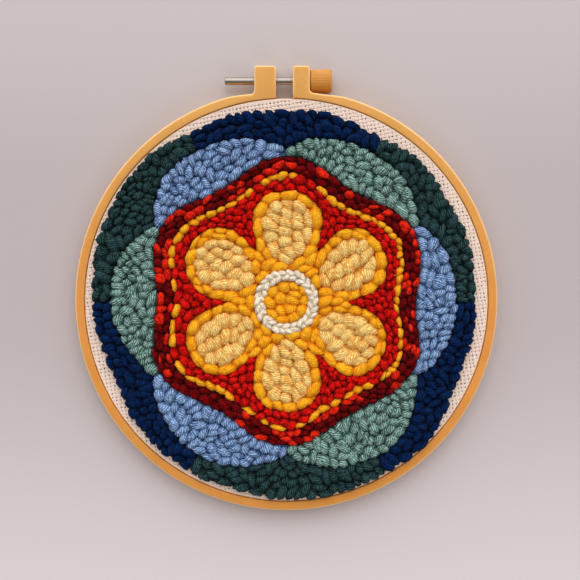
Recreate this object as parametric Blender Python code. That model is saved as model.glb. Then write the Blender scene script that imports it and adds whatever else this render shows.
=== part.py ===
# Punch needle wall piece in an embroidery hoop, lying on its back with the looped face up.
#
# An outer plastic ring, split at the top, is drawn together by a screw through two lugs.
# It grips the cloth against an inner ring. Looped yarn stands on the cloth in colour fields:
# a six-petalled flower in a scalloped medallion. Sizes are in metres, +Z comes out of the
# looped face and +Y points to the screw.

import math

import bmesh
import bpy
from mathutils import Vector, noise
from mathutils.geometry import delaunay_2d_cdt

CLEARANCE = 0.0003

# Hoop
HOOP_RADIUS = 0.1054
HOOP_WALL = 0.0046
HOOP_DEPTH = 0.0120
HOOP_CHAMFER = 0.0009
RING_STEPS = 120

# The outer ring is a little thinner beside the lugs, where the screw draws it straight.
RELIEF_DEPTH = 0.0011
RELIEF_START = math.radians(17)
RELIEF_END = math.radians(9)

# Lugs, measured from the ring's centre
LUG_TOP = 0.1167
LEFT_LUG = (-0.0159, -0.0052)
RIGHT_LUG = (0.0032, 0.0116)
LUG_FILLET = 0.0020
LUG_CORNER = 0.0014

# Screw and thumb knob
SCREW_HEIGHT = 0.1100
SCREW_RADIUS = 0.0019
SCREW_END = -0.0308
SCREW_CHAMFER = 0.0005
SCREW_STEPS = 16
KNOB_RADIUS = 0.0057
KNOB_LENGTH = 0.0107
KNOB_SOCKET = 0.0060
KNOB_RIDGES = 24
KNOB_GROOVE = 0.00035
KNOB_ROUND = 0.0009

# Cloth and inner ring, from the outer ring inwards
CLOTH_THICKNESS = 0.0010
CLOTH_TOP = 0.0115
CLOTH_HEM_HEIGHT = 0.0010
CLOTH_ROUND = 0.0006
INNER_WALL = 0.0028
INNER_CHAMFER = 0.0005

# Looped pile
PILE_HEIGHT = 0.0063
PILE_VALLEY = 0.0041
PILE_RIM_HEIGHT = 0.0024
PILE_SHOULDER = 0.0045
POINT_SPACING = 0.0040
BORDER_MARGIN = 0.0018
FLAT = 1e-6

# How far the pile reaches from the ring's centre, by direction in degrees from +X
PILE_REACH = {
    0: 0.0935,
    22.5: 0.0942,
    45: 0.0950,
    67.5: 0.0938,
    90: 0.0940,
    112.5: 0.0958,
    135: 0.0982,
    157.5: 0.0978,
    180: 0.0960,
    202.5: 0.0930,
    225: 0.0970,
    247.5: 0.0967,
    270: 0.0980,
    292.5: 0.0985,
    315: 0.0985,
    337.5: 0.0930,
}

# Flower medallion: one petal to a sector, the first at +Y
SECTORS = 6
SECTOR = 2 * math.pi / SECTORS
FIRST_PETAL = math.pi / 2
HEART_RADIUS = 0.0110
BRAID_RADIUS = 0.0156
PETAL_CENTRE = 0.0345
PETAL_HALF_LENGTH = 0.0160
PETAL_HALF_WIDTH = 0.0120
PETAL_SHAPE = 0.28
OUTLINE_WIDTH = 0.0045
OUTLINE_ARC = math.radians(95)
OUTLINE_VALLEY = 0.0290
GROUND_RADIUS = 0.0600
SCALLOP_RADIUS = 0.0680
SCALLOP_WAVE = 0.0040
ARCH_VALLEY = 0.0755
EDGE_BAND = 0.0090
ARCH_SHARPNESS = 0.8
HAND_WOBBLE = 0.0014

# Ring centre in the part's frame, whose origin is under the middle of the outline
RING_CENTRE_Y = -(LUG_TOP - HOOP_RADIUS) / 2


def clear_scene():
    for obj in list(bpy.data.objects):
        bpy.data.objects.remove(obj, do_unlink=True)


def linear(channel):
    """A colour channel of 0 to 255, as a picture holds it, in linear light."""
    value = channel / 255
    if value <= 0.04045:
        return value / 12.92
    return ((value + 0.055) / 1.055) ** 2.4


def material(name, colour, roughness, metallic=0.0):
    made = bpy.data.materials.new(name)
    made.use_nodes = True
    shader = made.node_tree.nodes["Principled BSDF"]
    shader.inputs["Base Color"].default_value = (*[linear(channel) for channel in colour], 1)
    shader.inputs["Roughness"].default_value = roughness
    shader.inputs["Metallic"].default_value = metallic
    return made


def add_object(name, bm, finish, location=(0, 0, 0), parent=None):
    mesh = bpy.data.meshes.new(name)
    bmesh.ops.recalc_face_normals(bm, faces=bm.faces)
    bm.to_mesh(mesh)
    bm.free()
    mesh.materials.append(finish)
    obj = bpy.data.objects.new(name, mesh)
    bpy.context.scene.collection.objects.link(obj)
    obj.location = location
    obj.parent = parent
    return obj


def shade_round(obj, angle=math.radians(35)):
    obj.data.shade_smooth()
    obj.data.set_sharp_from_angle(angle=angle)


def turned(profile, steps):
    """A closed body turned about Z from a profile of (radius, height) points."""
    bm = bmesh.new()
    corners = [bm.verts.new((radius, 0, height)) for radius, height in profile]
    closed = profile[0][0] > 0 or profile[-1][0] > 0
    pairs = list(zip(corners, corners[1:]))
    if closed:
        pairs.append((corners[-1], corners[0]))
    for first, second in pairs:
        bm.edges.new((first, second))
    bmesh.ops.spin(
        bm,
        geom=bm.verts[:] + bm.edges[:],
        cent=(0, 0, 0),
        axis=(0, 0, 1),
        angle=2 * math.pi,
        steps=steps,
        use_merge=True,
    )
    bmesh.ops.remove_doubles(bm, verts=bm.verts, dist=1e-6)
    return bm


def arc(centre, radius, start, end, steps):
    """Points along an arc, both ends included."""
    points = []
    for step in range(steps + 1):
        angle = start + (end - start) * step / steps
        points.append((centre[0] + radius * math.cos(angle), centre[1] + radius * math.sin(angle)))
    return points


def smooth_step(value):
    value = min(max(value, 0.0), 1.0)
    return value * value * (3 - 2 * value)


def ring_radius(angle):
    """Outer radius of the split ring, a little less beside the lugs."""
    from_top = abs(angle - math.pi / 2)
    from_top = min(from_top, 2 * math.pi - from_top)
    share = smooth_step((RELIEF_START - from_top) / (RELIEF_START - RELIEF_END))
    return HOOP_RADIUS - RELIEF_DEPTH * share


def lug_fillet(side, turn):
    """The round where a lug's outer side runs into the ring, from the ring up to the lug.

    side is the x of the lug's outer side, and turn is 1 on the right and -1 on the left.
    """
    radius = HOOP_RADIUS - RELIEF_DEPTH
    centre_x = side + turn * LUG_FILLET
    centre_y = math.sqrt((radius + LUG_FILLET) ** 2 - centre_x**2)
    to_ring = math.atan2(-centre_y, -centre_x)
    to_lug = -math.pi if turn > 0 else 0.0
    return arc((centre_x, centre_y), LUG_FILLET, to_ring, to_lug, 4)


def lug_top(low_x, high_x):
    """The top of a lug from right to left, with rounded corners."""
    height = LUG_TOP - LUG_CORNER
    right = arc((high_x - LUG_CORNER, height), LUG_CORNER, 0, math.pi / 2, 3)
    left = arc((low_x + LUG_CORNER, height), LUG_CORNER, math.pi / 2, math.pi, 3)
    return right + left


def outer_ring_outline():
    """The split ring with its two lugs seen from the front, anticlockwise."""
    inner_radius = HOOP_RADIUS - HOOP_WALL
    right_fillet = lug_fillet(RIGHT_LUG[1], 1)
    left_fillet = lug_fillet(LEFT_LUG[0], -1)
    start = math.atan2(left_fillet[0][1], left_fillet[0][0])
    end = math.atan2(right_fillet[0][1], right_fillet[0][0]) + 2 * math.pi
    points = []
    for step in range(1, RING_STEPS):
        angle = start + (end - start) * step / RING_STEPS
        radius = ring_radius(angle % (2 * math.pi))
        points.append((radius * math.cos(angle), radius * math.sin(angle)))
    points += right_fillet
    points += lug_top(*RIGHT_LUG)
    gap_right = math.acos(RIGHT_LUG[0] / inner_radius)
    gap_left = math.acos(LEFT_LUG[1] / inner_radius)
    points += arc((0, 0), inner_radius, gap_right, gap_left - 2 * math.pi, RING_STEPS)
    points += lug_top(*LEFT_LUG)
    points += reversed(left_fillet)
    return points


def make_outer_hoop(finish, parent):
    bm = bmesh.new()
    face = bm.faces.new([bm.verts.new((x, y, 0)) for x, y in outer_ring_outline()])
    raised = bmesh.ops.extrude_face_region(bm, geom=[face])["geom"]
    raised_corners = [item for item in raised if isinstance(item, bmesh.types.BMVert)]
    bmesh.ops.translate(bm, verts=raised_corners, vec=(0, 0, HOOP_DEPTH))
    bmesh.ops.recalc_face_normals(bm, faces=bm.faces)
    rims = [edge for edge in bm.edges if abs(edge.verts[0].co.z - edge.verts[1].co.z) < 1e-6]
    bmesh.ops.bevel(
        bm,
        geom=rims,
        offset=HOOP_CHAMFER,
        segments=1,
        affect="EDGES",
        profile=0.5,
        material=-1,
    )
    hoop = add_object("outer_hoop", bm, finish, parent=parent)
    shade_round(hoop)
    bore = add_bore(parent)
    cut = hoop.modifiers.new("screw bore", "BOOLEAN")
    cut.operation = "DIFFERENCE"
    cut.solver = "EXACT"
    cut.object = bore
    return hoop


def add_bore(parent):
    """The cutter for the screw's hole through both lugs."""
    reach = 0.002
    radius = SCREW_RADIUS + CLEARANCE
    length = RIGHT_LUG[1] - LEFT_LUG[0] + 2 * reach
    profile = [(0, 0), (radius, 0), (radius, length), (0, length)]
    bm = turned(profile, SCREW_STEPS)
    bore = add_object("screw_bore_cutter", bm, bpy.data.materials["plastic"], parent=parent)
    bore.location = (LEFT_LUG[0] - reach, SCREW_HEIGHT, HOOP_DEPTH / 2)
    bore.rotation_euler = (0, math.pi / 2, 0)
    bore.hide_render = True
    bore.display_type = "WIRE"
    return bore


def make_cloth(finish, parent):
    """One pan of cloth: the face, and the hem that goes down between the two rings."""
    outer = HOOP_RADIUS - HOOP_WALL - CLEARANCE
    inner = outer - CLOTH_THICKNESS
    under = CLOTH_TOP - CLOTH_THICKNESS
    profile = [(0, CLOTH_TOP)]
    profile += [
        (radius, height)
        for radius, height in reversed(
            arc((outer - CLOTH_ROUND, CLOTH_TOP - CLOTH_ROUND), CLOTH_ROUND, 0, math.pi / 2, 3)
        )
    ]
    profile += [(outer, CLOTH_HEM_HEIGHT), (inner, CLOTH_HEM_HEIGHT), (inner, under), (0, under)]
    cloth = add_object("cloth", turned(profile, RING_STEPS), finish, parent=parent)
    shade_round(cloth)
    return cloth


def make_inner_hoop(finish, parent):
    outer = HOOP_RADIUS - HOOP_WALL - 2 * CLEARANCE - CLOTH_THICKNESS
    inner = outer - INNER_WALL
    top = CLOTH_TOP - CLOTH_THICKNESS - CLEARANCE
    profile = [
        (inner, INNER_CHAMFER),
        (inner + INNER_CHAMFER, 0),
        (outer - INNER_CHAMFER, 0),
        (outer, INNER_CHAMFER),
        (outer, top),
        (inner, top),
    ]
    hoop = add_object("inner_hoop", turned(profile, RING_STEPS), finish, parent=parent)
    shade_round(hoop)
    return hoop


def make_screw(finish, parent):
    end = RIGHT_LUG[1] + KNOB_SOCKET
    length = end - SCREW_END
    profile = [
        (0, 0),
        (SCREW_RADIUS - SCREW_CHAMFER, 0),
        (SCREW_RADIUS, SCREW_CHAMFER),
        (SCREW_RADIUS, length),
        (0, length),
    ]
    screw = add_object("screw", turned(profile, SCREW_STEPS), finish, parent=parent)
    screw.location = (SCREW_END, SCREW_HEIGHT, HOOP_DEPTH / 2)
    screw.rotation_euler = (0, math.pi / 2, 0)
    shade_round(screw)
    return screw


def make_knob(finish, parent):
    """A ridged thumb knob with a socket that takes the screw's end."""
    socket = SCREW_RADIUS + CLEARANCE
    depth = KNOB_SOCKET + CLEARANCE
    profile = [
        (0, depth),
        (socket, depth),
        (socket, 0),
        (KNOB_RADIUS, 0),
        (KNOB_RADIUS, KNOB_LENGTH - KNOB_ROUND),
        (KNOB_RADIUS - KNOB_ROUND / 3, KNOB_LENGTH - KNOB_ROUND / 3),
        (KNOB_RADIUS - KNOB_ROUND, KNOB_LENGTH),
        (0, KNOB_LENGTH),
    ]
    steps = 2 * KNOB_RIDGES
    bm = turned(profile, steps)
    for vert in bm.verts:
        radius = math.hypot(vert.co.x, vert.co.y)
        turn = math.atan2(vert.co.y, vert.co.x) / (2 * math.pi) * steps
        if radius > KNOB_RADIUS - KNOB_ROUND / 2 and round(turn) % 2:
            shrink = (radius - KNOB_GROOVE) / radius
            vert.co.x *= shrink
            vert.co.y *= shrink
    knob = add_object("knob", bm, finish, parent=parent)
    knob.location = (RIGHT_LUG[1] + CLEARANCE, SCREW_HEIGHT, HOOP_DEPTH / 2)
    knob.rotation_euler = (0, math.pi / 2, 0)
    return knob


def wobbled(point):
    """A point of the design as a hand draws it, a little off its true place."""
    moved = []
    for axis in range(2):
        slow = noise.noise(Vector((point[0], point[1], 0)) / 0.03 + Vector((0, 0, 5 * axis)))
        quick = noise.noise(Vector((point[0], point[1], 0)) / 0.007 + Vector((0, 0, 5 * axis + 2)))
        moved.append(point[axis] + HAND_WOBBLE * (slow + 0.5 * quick))
    return tuple(moved)


def polar(radius, angle):
    return (radius * math.cos(angle), radius * math.sin(angle))


def pile_reach(angle):
    """Distance from the ring's centre to the pile's edge, eased between the directions."""
    directions = sorted(PILE_REACH)
    step = 360 / len(directions)
    position = (math.degrees(angle) % 360) / step
    first = int(position) % len(directions)
    second = (first + 1) % len(directions)
    share = smooth_step(position - int(position))
    low = PILE_REACH[directions[first]]
    high = PILE_REACH[directions[second]]
    return low + (high - low) * share


def scallop(base):
    """A ring that swells once in each sector, over the petal."""
    return lambda angle: base + SCALLOP_WAVE * math.cos(SECTORS * (angle - FIRST_PETAL))


def arch_radius(angle):
    """The top of the arches: a crown between two petals and a cusp over each petal."""
    from_crown = SECTORS / 2 * (angle - FIRST_PETAL) + math.pi / 2
    rise = pile_reach(angle) - EDGE_BAND - ARCH_VALLEY
    return ARCH_VALLEY + rise * abs(math.cos(from_crown)) ** ARCH_SHARPNESS


def ring_points(radius_at, per_sector):
    """Points round the ring, the first over the first petal."""
    count = SECTORS * per_sector
    points = []
    for index in range(count):
        angle = FIRST_PETAL + 2 * math.pi * index / count
        points.append(wobbled(polar(radius_at(angle), angle)))
    return points


def stretch(points, first, last):
    """The points from index first to index last of a closed ring of points."""
    return [points[index % len(points)] for index in range(first, last + 1)]


def petal_points(grow, start, end, steps, direction):
    """Points along a petal that is grown on all sides, at its place round the heart."""
    points = []
    for step in range(steps + 1):
        turn = start + (end - start) * step / steps
        along = PETAL_CENTRE + (PETAL_HALF_LENGTH + grow) * math.cos(turn)
        across = (PETAL_HALF_WIDTH + grow) * math.sin(turn) * (1 + PETAL_SHAPE * math.cos(turn))
        angle = direction + math.atan2(across, along)
        points.append(wobbled(polar(math.hypot(along, across), angle)))
    return points


def petal_loop(index):
    direction = FIRST_PETAL + index * SECTOR
    return petal_points(0, 0, 2 * math.pi, 24, direction)[:-1]


def flower_loop():
    """The outer edge of the gold outlines, a valley after each petal."""
    points = []
    for index in range(SECTORS):
        direction = FIRST_PETAL + index * SECTOR
        points += petal_points(OUTLINE_WIDTH, -OUTLINE_ARC, OUTLINE_ARC, 16, direction)
        points.append(wobbled(polar(OUTLINE_VALLEY, direction + SECTOR / 2)))
    return points


def inset(loop, distance):
    """The loop moved to its left by a distance, so inwards on an anticlockwise loop."""
    moved = []
    count = len(loop)
    for index in range(count):
        before = Vector(loop[index - 1])
        here = Vector(loop[index])
        after = Vector(loop[(index + 1) % count])
        into = (here - before).normalized()
        out = (after - here).normalized()
        left = Vector((-into.y - out.y, into.x + out.x)).normalized()
        spread = max(left.dot(Vector((-into.y, into.x))), 0.5)
        moved.append(here + left * (distance / spread))
    return moved


def inside(point, loops):
    """Whether a point lies within the outer loop and outside every hole."""
    crossings = 0
    for loop in loops:
        before = loop[-1]
        for here in loop:
            if (here.y > point.y) != (before.y > point.y):
                share = (point.y - here.y) / (before.y - here.y)
                if point.x < here.x + share * (before.x - here.x):
                    crossings += 1
            before = here
    return crossings % 2 == 1


def border_distance(point, loops):
    """Distance from a point to the nearest side of the loops."""
    nearest = 1.0
    for loop in loops:
        before = loop[-1]
        for here in loop:
            side = here - before
            share = min(max((point - before).dot(side) / side.length_squared, 0), 1)
            nearest = min(nearest, (point - before - side * share).length)
            before = here
    return nearest


def pile_top(point):
    """Height of the pile above the cloth: lumps of a few loops each, lower at the rim."""
    pitch = POINT_SPACING * math.sqrt(3)
    wave = 0.0
    for index in range(3):
        angle = index * math.pi / 3 + math.pi / 6
        along = point.x * math.cos(angle) + point.y * math.sin(angle)
        wave += math.cos(4 * math.pi / (math.sqrt(3) * pitch) * along)
    lump = (wave + 1.5) / 4.5
    uneven = 0.0006 * noise.noise(Vector((point.x, point.y, 0)) / 0.012)
    height = PILE_VALLEY + (PILE_HEIGHT - PILE_VALLEY) * lump + uneven
    to_rim = pile_reach(math.atan2(point.y, point.x)) - point.length
    shoulder = 1 - min(max(to_rim / PILE_SHOULDER, 0), 1)
    return PILE_RIM_HEIGHT + (height - PILE_RIM_HEIGHT) * math.sqrt(1 - shoulder**2)


def lattice_points(loops):
    """Points of one lattice for the whole pile that lie well within the loops."""
    low_x = min(point.x for point in loops[0])
    high_x = max(point.x for point in loops[0])
    low_y = min(point.y for point in loops[0])
    high_y = max(point.y for point in loops[0])
    row_height = POINT_SPACING * math.sqrt(3) / 2
    points = []
    for row in range(math.ceil(low_y / row_height), math.floor(high_y / row_height) + 1):
        shift = row % 2 / 2
        first = math.ceil(low_x / POINT_SPACING - shift)
        last = math.floor(high_x / POINT_SPACING - shift)
        for column in range(first, last + 1):
            point = Vector(((column + shift) * POINT_SPACING, row * row_height))
            if inside(point, loops) and border_distance(point, loops) > BORDER_MARGIN:
                points.append(point)
    return points


def make_pile_field(name, loops, finish, parent):
    """A lumpy slab of loops within the first loop and outside the others."""
    loops = [inset(loops[0], CLEARANCE / 2)] + [inset(hole[::-1], CLEARANCE / 2) for hole in loops[1:]]
    points = []
    sides = []
    for loop in loops:
        first = len(points)
        points += loop
        sides += [(first + index, first + (index + 1) % len(loop)) for index in range(len(loop))]
    points += lattice_points(loops)
    flat, _, faces, _, _, _ = delaunay_2d_cdt(points, sides, [], 1, 1e-7)
    bm = bmesh.new()
    corners = [bm.verts.new((point.x, point.y, 0)) for point in flat]
    for face in faces:
        centre = sum((flat[index] for index in face), Vector((0, 0))) / len(face)
        if inside(centre, loops):
            bm.faces.new([corners[index] for index in face])
    top_faces = bm.faces[:]
    lifted = bmesh.ops.extrude_face_region(bm, geom=top_faces)["geom"]
    for item in lifted:
        if isinstance(item, bmesh.types.BMVert):
            item.co.z = pile_top(item.co.xy)
    bmesh.ops.recalc_face_normals(bm, faces=bm.faces)
    bmesh.ops.dissolve_limit(
        bm,
        angle_limit=math.radians(1),
        verts=[vert for vert in bm.verts if vert.co.z < FLAT],
        edges=[edge for edge in bm.edges if max(vert.co.z for vert in edge.verts) < FLAT],
        use_dissolve_boundaries=False,
    )
    height = CLOTH_TOP + CLEARANCE
    return add_object(name, bm, finish, location=(0, 0, height), parent=parent)


def arch_loop(index, scallop_points, arch_points, per_sector):
    """One arch, from over a petal to over the next."""
    first = index * per_sector
    last = first + per_sector
    lower = stretch(scallop_points, first, last)
    upper = stretch(arch_points, first, last)
    return lower[::-1] + upper


def edge_loop(index, arch_points, rim_points, per_sector):
    """One field between the arches and the pile's edge, from crown to crown."""
    first = index * per_sector - per_sector // 2
    last = first + per_sector
    lower = stretch(arch_points, first, last)
    upper = stretch(rim_points, first, last)
    start_side = [tuple((Vector(lower[0]) + Vector(upper[0])) / 2)]
    end_side = [tuple((Vector(lower[-1]) + Vector(upper[-1])) / 2)]
    return lower[::-1] + start_side + upper + end_side


def make_pile(yarns, parent):
    heart = ring_points(lambda angle: HEART_RADIUS, 3)
    braid = ring_points(lambda angle: BRAID_RADIUS, 4)
    petals = [petal_loop(index) for index in range(SECTORS)]
    flower = flower_loop()
    ground = ring_points(scallop(GROUND_RADIUS), 16)
    scallops = ring_points(scallop(SCALLOP_RADIUS), 16)
    arches = ring_points(arch_radius, 16)
    rim = ring_points(pile_reach, 16)
    make_pile_field("gold_heart", [heart], yarns["gold"], parent)
    make_pile_field("white_braid_ring", [braid, heart], yarns["white"], parent)
    for index, petal in enumerate(petals):
        make_pile_field(f"cream_petal_{index + 1}", [petal], yarns["cream"], parent)
    make_pile_field("gold_outline", [flower, braid, *petals], yarns["gold"], parent)
    make_pile_field("red_ground", [ground, flower], yarns["red"], parent)
    make_pile_field("wine_scallops", [scallops, ground], yarns["wine"], parent)
    for index in range(SECTORS):
        number = index // 2 + 1
        arch = ("blue", "sage")[index % 2]
        loop = arch_loop(index, scallops, arches, 16)
        make_pile_field(f"{arch}_arch_{number}", [loop], yarns[arch], parent)
        edge = ("navy", "pine")[index % 2]
        loop = edge_loop(index, arches, rim, 16)
        make_pile_field(f"{edge}_edge_{number}", [loop], yarns[edge], parent)


def main():
    clear_scene()
    plastic = material("plastic", (222, 158, 80), 0.42)
    steel = material("steel", (150, 146, 142), 0.35, 1.0)
    weave = material("cloth", (232, 216, 206), 0.92)
    yarns = {
        "gold": material("gold yarn", (246, 172, 30), 0.9),
        "white": material("white yarn", (226, 222, 216), 0.9),
        "cream": material("cream yarn", (238, 200, 128), 0.9),
        "red": material("red yarn", (196, 26, 14), 0.9),
        "wine": material("wine yarn", (92, 12, 18), 0.9),
        "blue": material("blue yarn", (112, 150, 200), 0.9),
        "sage": material("sage yarn", (100, 142, 124), 0.9),
        "pine": material("pine yarn", (36, 68, 62), 0.9),
        "navy": material("navy yarn", (14, 38, 84), 0.9),
    }
    centre = bpy.data.objects.new("ring_centre", None)
    bpy.context.scene.collection.objects.link(centre)
    centre.location = (0, RING_CENTRE_Y, 0)
    make_outer_hoop(plastic, centre)
    make_inner_hoop(plastic, centre)
    make_cloth(weave, centre)
    make_screw(steel, centre)
    make_knob(plastic, centre)
    make_pile(yarns, centre)


main()
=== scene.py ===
# Punch needle wall piece in a plastic embroidery hoop, seen from above its looped face.
# Lengths are in metres. The rings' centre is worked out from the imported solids.
import math

import bmesh
import bpy
import numpy as np
from mathutils import Matrix, Vector


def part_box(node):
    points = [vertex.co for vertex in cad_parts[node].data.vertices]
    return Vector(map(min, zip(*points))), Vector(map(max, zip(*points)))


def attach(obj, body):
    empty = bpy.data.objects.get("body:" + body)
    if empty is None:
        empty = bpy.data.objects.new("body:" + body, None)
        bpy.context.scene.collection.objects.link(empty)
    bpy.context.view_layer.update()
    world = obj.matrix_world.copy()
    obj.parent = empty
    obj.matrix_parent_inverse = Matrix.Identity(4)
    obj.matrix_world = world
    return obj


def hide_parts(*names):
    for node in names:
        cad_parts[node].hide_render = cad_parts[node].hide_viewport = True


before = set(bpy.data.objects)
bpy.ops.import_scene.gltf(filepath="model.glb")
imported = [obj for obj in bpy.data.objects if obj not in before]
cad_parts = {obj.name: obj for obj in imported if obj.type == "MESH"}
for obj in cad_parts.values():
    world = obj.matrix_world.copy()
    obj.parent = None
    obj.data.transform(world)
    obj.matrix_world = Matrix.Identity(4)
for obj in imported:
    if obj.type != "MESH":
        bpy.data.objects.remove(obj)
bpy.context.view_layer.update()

mm = 0.001
sameSpot = 1e-6  # points closer than this are one
ringLow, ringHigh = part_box("cloth")
centre = (ringLow + ringHigh) / 2
clothTop = ringHigh.z
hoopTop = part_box("outer_hoop")[1].z
print("frame loaded")


# Shader sums: a wire is one socket, and arithmetic on wires adds Math nodes
class Wire:
    def __init__(self, finish, socket):
        self.finish = finish
        self.socket = socket

    def math(self, operation, *values, clamp=False):
        settings = {"operation": operation, "use_clamp": clamp}
        return self.finish.node("ShaderNodeMath", settings, dict(enumerate(values)))

    def __add__(self, other):
        return self.math("ADD", self, other)

    def __radd__(self, other):
        return self.math("ADD", other, self)

    def __sub__(self, other):
        return self.math("SUBTRACT", self, other)

    def __rsub__(self, other):
        return self.math("SUBTRACT", other, self)

    def __mul__(self, other):
        return self.math("MULTIPLY", self, other)

    def __rmul__(self, other):
        return self.math("MULTIPLY", other, self)

    def __truediv__(self, other):
        return self.math("DIVIDE", self, other)

    def __pow__(self, other):
        return self.math("POWER", self, other)

    def sine(self):
        return self.math("SINE", self)

    def size(self):
        return self.math("ABSOLUTE", self)

    def floor(self):
        return self.math("FLOOR", self)

    def fraction(self):
        return self.math("FRACT", self)

    def clamped(self):
        return self.math("ADD", self, 0, clamp=True)

    def step(self, low, high):  # 0 below low, 1 above high, eased between
        inputs = {"Value": self, "From Min": low, "From Max": high}
        return self.finish.node("ShaderNodeMapRange", {"interpolation_type": "SMOOTHSTEP"}, inputs)


def toned(tones, amount):  # tones hold the first one and how far it rises from there
    return tones[0] + tones[1] * amount


# One material: every node comes from node(), with its settings before its inputs
class Finish:
    def __init__(self, name, roughness=0.9, metallic=0.0, **fixed):
        self.material = bpy.data.materials.new(name)
        self.material.use_nodes = True
        self.tree = self.material.node_tree
        self.shader = self.tree.nodes["Principled BSDF"]
        self.shader.inputs["Roughness"].default_value = roughness
        self.shader.inputs["Metallic"].default_value = metallic
        for name, value in fixed.items():
            self.shader.inputs[name.replace("_", " ")].default_value = value

    def put(self, socket, value):
        if isinstance(value, Wire):
            self.tree.links.new(value.socket, socket)
        else:
            socket.default_value = value

    def node(self, kind, settings, inputs, output=0):
        made = self.tree.nodes.new(kind)
        for name, value in settings.items():
            setattr(made, name, value)
        for name, value in inputs.items():
            self.put(made.inputs[name], value)
        return Wire(self, made.outputs[output])

    def place(self):  # the point in the object's own frame
        return self.node("ShaderNodeTexCoord", {}, {}, "Object")

    def attribute(self, name, output="Vector"):
        return self.node("ShaderNodeAttribute", {"attribute_name": name}, {}, output)

    def parts(self, vector):
        made = self.node("ShaderNodeSeparateXYZ", {}, {0: vector})
        return [Wire(self, socket) for socket in made.socket.node.outputs]

    def joined(self, x, y, z):
        return self.node("ShaderNodeCombineXYZ", {}, {0: x, 1: y, 2: z})

    def grain(self, vector, scale, detail=2.0, roughness=0.5):  # noise between 0 and 1
        inputs = {"Vector": vector, "Scale": scale, "Detail": detail, "Roughness": roughness}
        return self.node("ShaderNodeTexNoise", {}, inputs)

    def mix(self, share, first, second):  # two colours, all of the second where share is 1
        settings = {"data_type": "RGBA", "blend_type": "MIX"}
        return self.node("ShaderNodeMix", settings, {0: share, 6: first, 7: second}, 2)

    def bump(self, height, distance):
        return self.node("ShaderNodeBump", {}, {"Height": height, "Distance": distance})

    def use(self, name, value):
        self.put(self.shader.inputs[name], value)


def rgb(red, green, blue):  # a colour as a picture holds it, 0 to 255, in linear light
    parts = []
    for channel in (red, green, blue):
        value = channel / 255
        parts.append(value / 12.92 if value <= 0.04045 else ((value + 0.055) / 1.055) ** 2.4)
    return (*parts, 1.0)


def newPiece(name, bm, finish, replaced=()):
    mesh = bpy.data.meshes.new(name)
    bm.to_mesh(mesh)
    bm.free()
    mesh.materials.append(finish.material)
    mesh.shade_smooth()
    piece = bpy.data.objects.new(name, mesh)
    bpy.context.scene.collection.objects.link(piece)
    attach(piece, "root")
    if replaced:
        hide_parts(*replaced)
    return piece


# Camera: square above the rings, where the photograph's centre falls
view = {
    "distance": 0.450,
    "framed": 0.2889,
    "aside": 1.8 * mm,
    "above": 5.85 * mm,
    "tilt": math.radians(2.5),
}


def placeCamera():
    camera = bpy.data.cameras.new("camera")
    camera.sensor_width = 36.0
    camera.lens = camera.sensor_width * view["distance"] / view["framed"]
    camera.clip_start = 0.01
    holder = bpy.data.objects.new("camera", camera)
    bpy.context.scene.collection.objects.link(holder)
    target = Vector((centre.x + view["aside"], centre.y + view["above"], hoopTop))
    offset = Vector((0, math.sin(view["tilt"]), math.cos(view["tilt"]))) * view["distance"]
    holder.location = target + offset
    holder.rotation_euler = (-view["tilt"], 0, 0)
    bpy.context.scene.camera = holder


placeCamera()


# Yarns. The strand attribute holds each point's way along and across the plies of its own
# loop, in metres, and a number for the loop. The drop attribute is 0 on a loop's crown and 1
# on its sides; it sets how far the sides are painted darker, as painted shade.
yarnLook = {
    "plyPitch": 1.08 * mm,
    "plyDepth": 0.55 * mm,
    "strays": 1.7,  # how far the plies stray from straight, in plies
    "strayGrain": 420,
    "grainApart": (7, 3, 11),  # how far loops lie apart in the stray, fibre and speck grain
    "dashes": 620,  # changes of tone along one ply, in each metre
    "dashApart": (3.7, 91),  # how far plies, and loops, lie from one another in the grain
    "dashEdges": (0.28, 0.72),
    "fibreDepth": 0.22 * mm,
    "fibreGrain": 5200,
    "fibreSlant": 0.35,
    "fibreStretch": 0.25,
    "speckGrain": 1500,
    "speckEdges": (0.25, 0.75),
    "ridgeCurves": (1.5, 0.7),  # how sharp the plies' grooves are in painted shade, and in bump
    "grooves": (0.72, 0.45),
    "plyTones": (0.42, 1.16),
    "fibreTones": (0.60, 0.80),
    "speckTones": (0.48, 1.04),
    "loopTones": (0.86, 0.42),
    # painted shade: how dark the yarn is painted low between the loops, and how far it rises to
    # full tone
    "heightShadeTones": (0.36, 0.64),
    "rough": (0.95, -0.15),
    # Painted shade runs from valleyZ, where it is darkest, up to crownZ, where it ends
    "valleyZ": clothTop + 2.2 * mm,
    "crownZ": clothTop + 5.8 * mm,
}
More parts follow.
